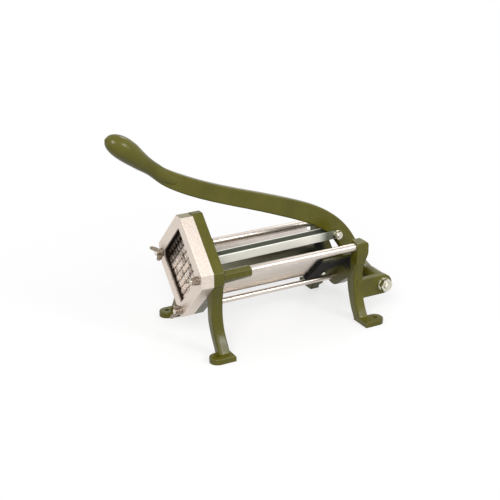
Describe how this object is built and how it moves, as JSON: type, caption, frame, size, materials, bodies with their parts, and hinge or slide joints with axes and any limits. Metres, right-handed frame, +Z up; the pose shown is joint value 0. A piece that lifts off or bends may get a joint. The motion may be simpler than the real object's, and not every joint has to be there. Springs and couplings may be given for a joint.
{
  "type": "french fry cutter",
  "caption": "Bench-mounted potato chip cutter: a hand lever drives a fingered pusher along a V trough through a crossed blade grid held by wing nuts.",
  "frame": {"origin": "centre of the four bench-screw holes, on the surface that the feet stand on", "axes": "+X from the blade grid to the lever pivot, along the pusher's travel when the lever is raised; +Z up; +Y to the far side"},
  "size_m": [0.3945, 0.1824, 0.3004],
  "materials": {
    "green_enamel": "glossy olive green enamel on a casting",
    "cast_aluminium": "as cast, lightly polished",
    "chromed_steel": "polished",
    "bright_steel": "bright drawn",
    "stainless_sheet": "polished sheet",
    "blade_steel": "ground strip",
    "zinc_plate": "zinc plated",
    "bronze": "plain bearing bronze"
  },
  "bodies": {
    "stand": {"front_frame": "green_enamel", "rear_frame": "green_enamel", "feed_trough": "stainless_sheet", "trough_rivets": "zinc_plate", "blade_frame": "cast_aluminium", "blades_front": "blade_steel", "blades_rear": "blade_steel", "tie_rod_near": "chromed_steel", "tie_rod_far": "chromed_steel", "tie_rod_bottom": "chromed_steel", "rod_end_screws": "zinc_plate", "rod_washer": "zinc_plate", "rod_nut": "zinc_plate", "pivot_bolt": "zinc_plate", "pivot_nut": "zinc_plate", "pivot_washers": "zinc_plate"},
    "lever_arm": {"lever": "green_enamel", "pivot_bushings": "bronze"},
    "links": {"link_bar_near": "bright_steel", "link_bar_far": "bright_steel", "link_pin": "bright_steel", "link_pin_clips": "bright_steel", "link_bolt": "zinc_plate", "link_nut": "zinc_plate", "link_washers": "zinc_plate"},
    "pusher": {"pusher_block": "cast_aluminium", "pusher_bracket": "bright_steel", "pusher_screws": "zinc_plate"},
    "wing_near": {"wing_nut_near": "zinc_plate"},
    "wing_far": {"wing_nut_far": "zinc_plate"},
    "wing_bottom": {"wing_nut_bottom": "zinc_plate"}
  },
  "joints": [
    {"name": "lever_pivot", "type": "hinge", "parent": "stand", "child": "lever_arm", "pos_m": [0.14825, 0, 0.0455], "axis": [0, 1, 0], "range_deg": [0, 80]},
    {"name": "link_pivot", "type": "hinge", "parent": "lever_arm", "child": "links", "pos_m": [0.10155, 0, 0.1111], "axis": [0, 1, 0], "range_deg": [-77.6, 0]},
    {"name": "pusher_slide", "type": "slide", "parent": "stand", "child": "pusher", "axis": [1, 0, 0], "range_m": [0, 0.1049]},
    {"name": "wing_nut_near_turn", "type": "hinge", "parent": "stand", "child": "wing_near", "pos_m": [-0.1414, -0.05528, 0.1083], "axis": [1, 0, 0], "continuous": true},
    {"name": "wing_nut_far_turn", "type": "hinge", "parent": "stand", "child": "wing_far", "pos_m": [-0.1414, 0.05528, 0.1083], "axis": [1, 0, 0], "continuous": true},
    {"name": "wing_nut_bottom_turn", "type": "hinge", "parent": "stand", "child": "wing_bottom", "pos_m": [-0.1414, 0, 0.04406], "axis": [1, 0, 0], "continuous": true}
  ],
  "couplings": [
    {"joint": "link_pivot", "follows": "lever_pivot", "ratio": -0.969},
    {"joint": "pusher_slide", "follows": "lever_pivot", "m_per_rad": 0.0751}
  ]
}
